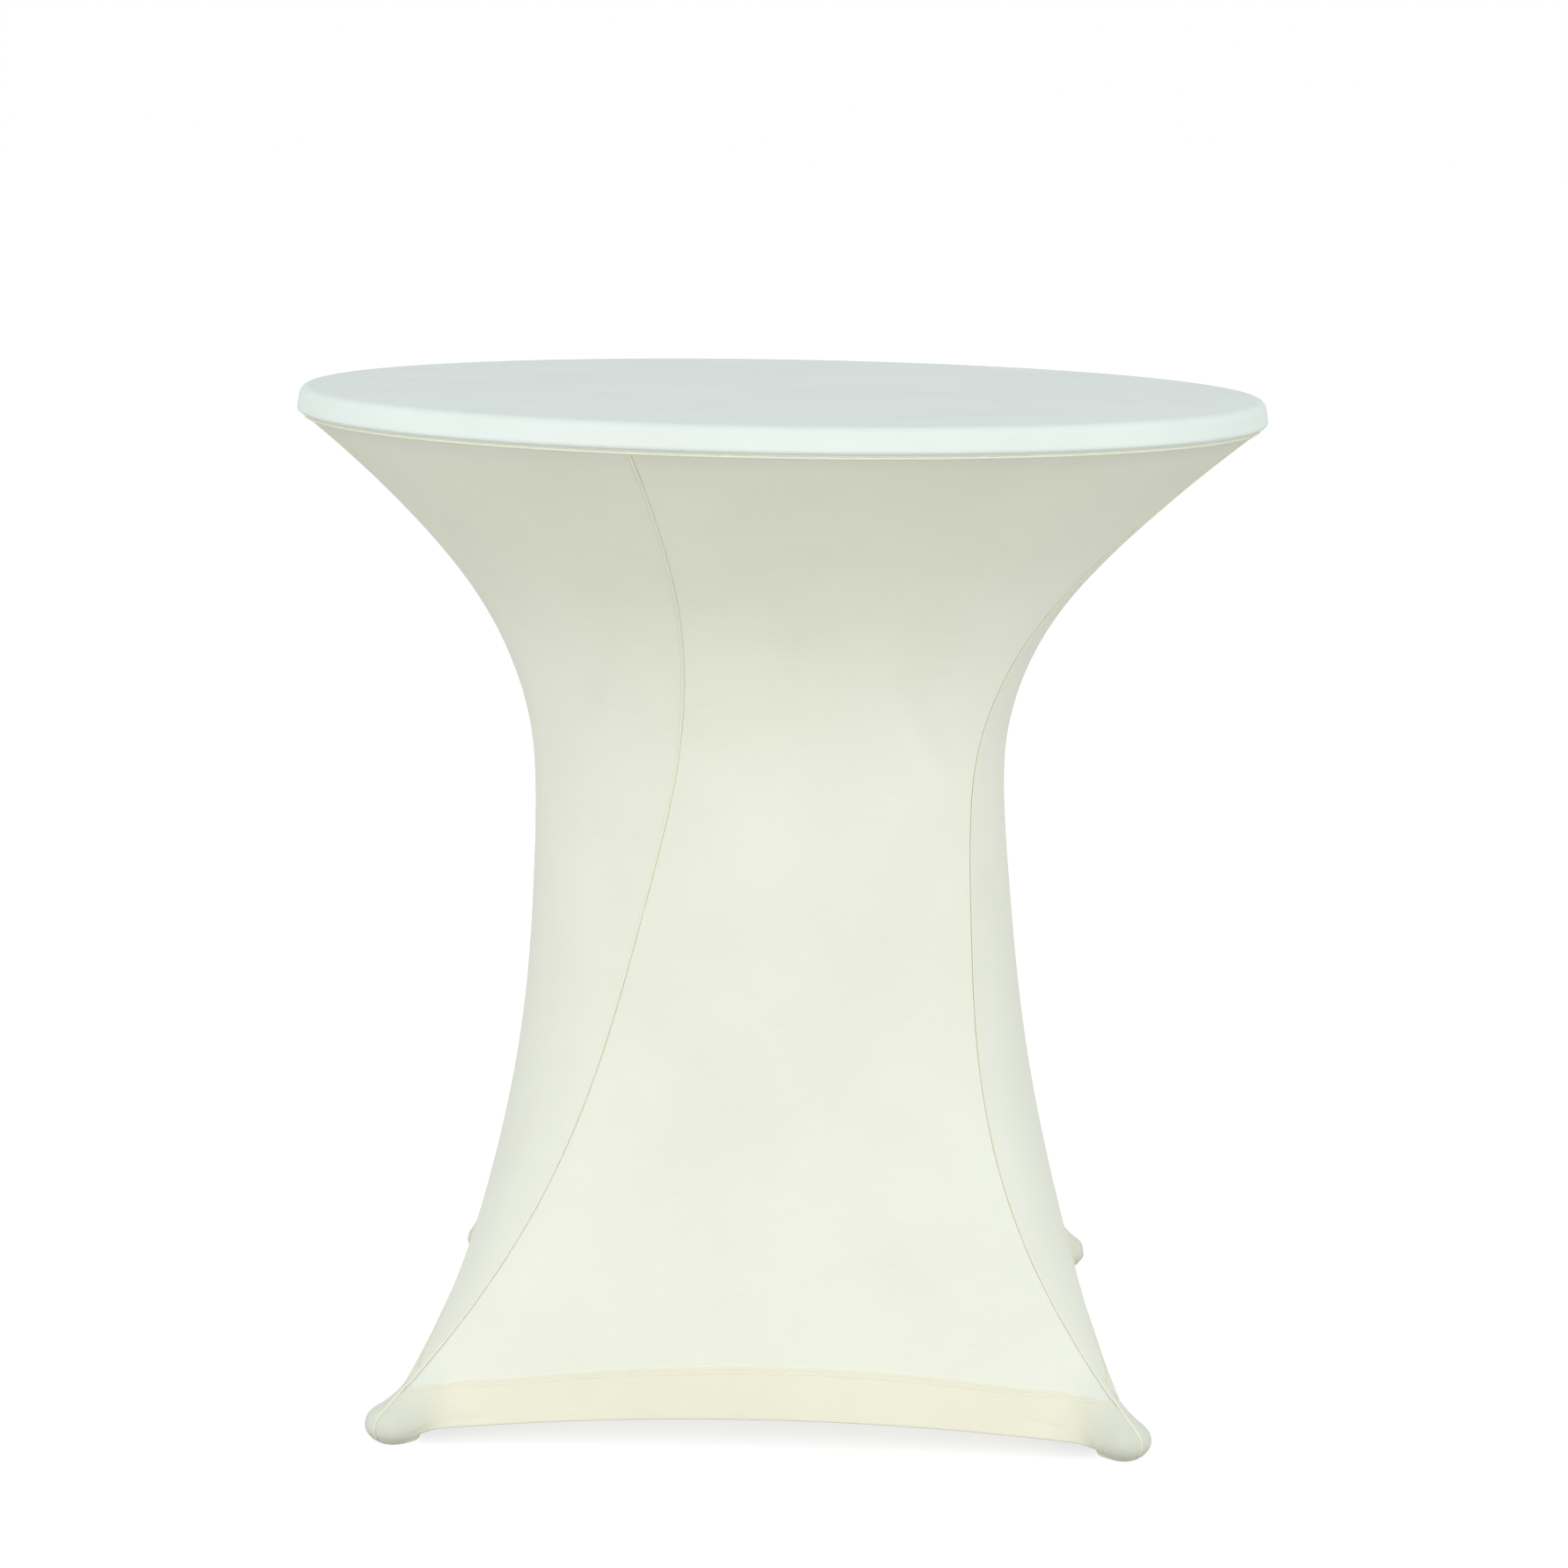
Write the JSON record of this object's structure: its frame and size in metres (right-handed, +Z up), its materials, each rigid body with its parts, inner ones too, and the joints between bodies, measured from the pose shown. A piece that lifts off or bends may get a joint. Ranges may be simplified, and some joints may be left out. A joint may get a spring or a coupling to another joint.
{
  "type": "fitted table cover on a round standing table",
  "caption": "Round standing table on a central column with a four-arm base, dressed in a fitted ivory stretch cover whose waisted skirt is drawn down over the four feet.",
  "frame": {"origin": "on the floor under the middle of the table top", "axes": "+Z up, -Y towards the front, +X to the right seen from the front"},
  "size_m": [1.069, 1.069, 1.092],
  "materials": {
    "cover_fabric": "matt ivory knitted polyester and elastane with a faint sheen",
    "hem_fabric": "double layer of the same ivory knit, a little creamier",
    "seam_thread": "ivory overlock thread",
    "board": "raw particle board with a sealed face",
    "moulding": "satin",
    "frame_paint": "fine powder coat",
    "column_paint": "fine powder coat",
    "zinc": "bright zinc plate",
    "cap_plastic": "matt",
    "pad_rubber": "matt"
  },
  "bodies": {
    "root": {"table_board": "board", "edge_moulding": "moulding", "top_plate": "frame_paint", "top_plate_screws": "zinc", "column_tube": "column_paint", "tie_rod": "zinc", "tie_rod_nuts": "zinc", "tie_rod_washers": "zinc", "base_hub": "frame_paint", "base_arm_front_left": "frame_paint", "base_arm_front_right": "frame_paint", "base_arm_back_right": "frame_paint", "base_arm_back_left": "frame_paint", "arm_bolts": "zinc", "arm_bolt_nuts": "zinc", "arm_end_caps": "cap_plastic", "glide_nuts": "zinc", "cover_top_panel": "cover_fabric", "cover_rim_seam": "seam_thread", "skirt_panel_front": "cover_fabric", "skirt_panel_right": "cover_fabric", "skirt_panel_back": "cover_fabric", "skirt_panel_left": "cover_fabric", "skirt_seam_front_left": "seam_thread", "skirt_seam_front_right": "seam_thread", "skirt_seam_back_right": "seam_thread", "skirt_seam_back_left": "seam_thread", "hem_band_front": "hem_fabric", "hem_band_right": "hem_fabric", "hem_band_back": "hem_fabric", "hem_band_left": "hem_fabric", "foot_pocket_front_left": "hem_fabric", "foot_pocket_front_right": "hem_fabric", "foot_pocket_back_right": "hem_fabric", "foot_pocket_back_left": "hem_fabric"},
    "glide_front_left": {"glide_stud_front_left": "zinc", "glide_pad_front_left": "pad_rubber"},
    "glide_front_right": {"glide_stud_front_right": "zinc", "glide_pad_front_right": "pad_rubber"},
    "glide_back_right": {"glide_stud_back_right": "zinc", "glide_pad_back_right": "pad_rubber"},
    "glide_back_left": {"glide_stud_back_left": "zinc", "glide_pad_back_left": "pad_rubber"}
  },
  "joints": [
    {"name": "glide_front_left_travel", "type": "slide", "parent": "root", "child": "glide_front_left", "axis": [0, 0, 1], "range_m": [0, 0.005]},
    {"name": "glide_front_right_travel", "type": "slide", "parent": "root", "child": "glide_front_right", "axis": [0, 0, 1], "range_m": [0, 0.005]},
    {"name": "glide_back_right_travel", "type": "slide", "parent": "root", "child": "glide_back_right", "axis": [0, 0, 1], "range_m": [0, 0.005]},
    {"name": "glide_back_left_travel", "type": "slide", "parent": "root", "child": "glide_back_left", "axis": [0, 0, 1], "range_m": [0, 0.005]}
  ]
}
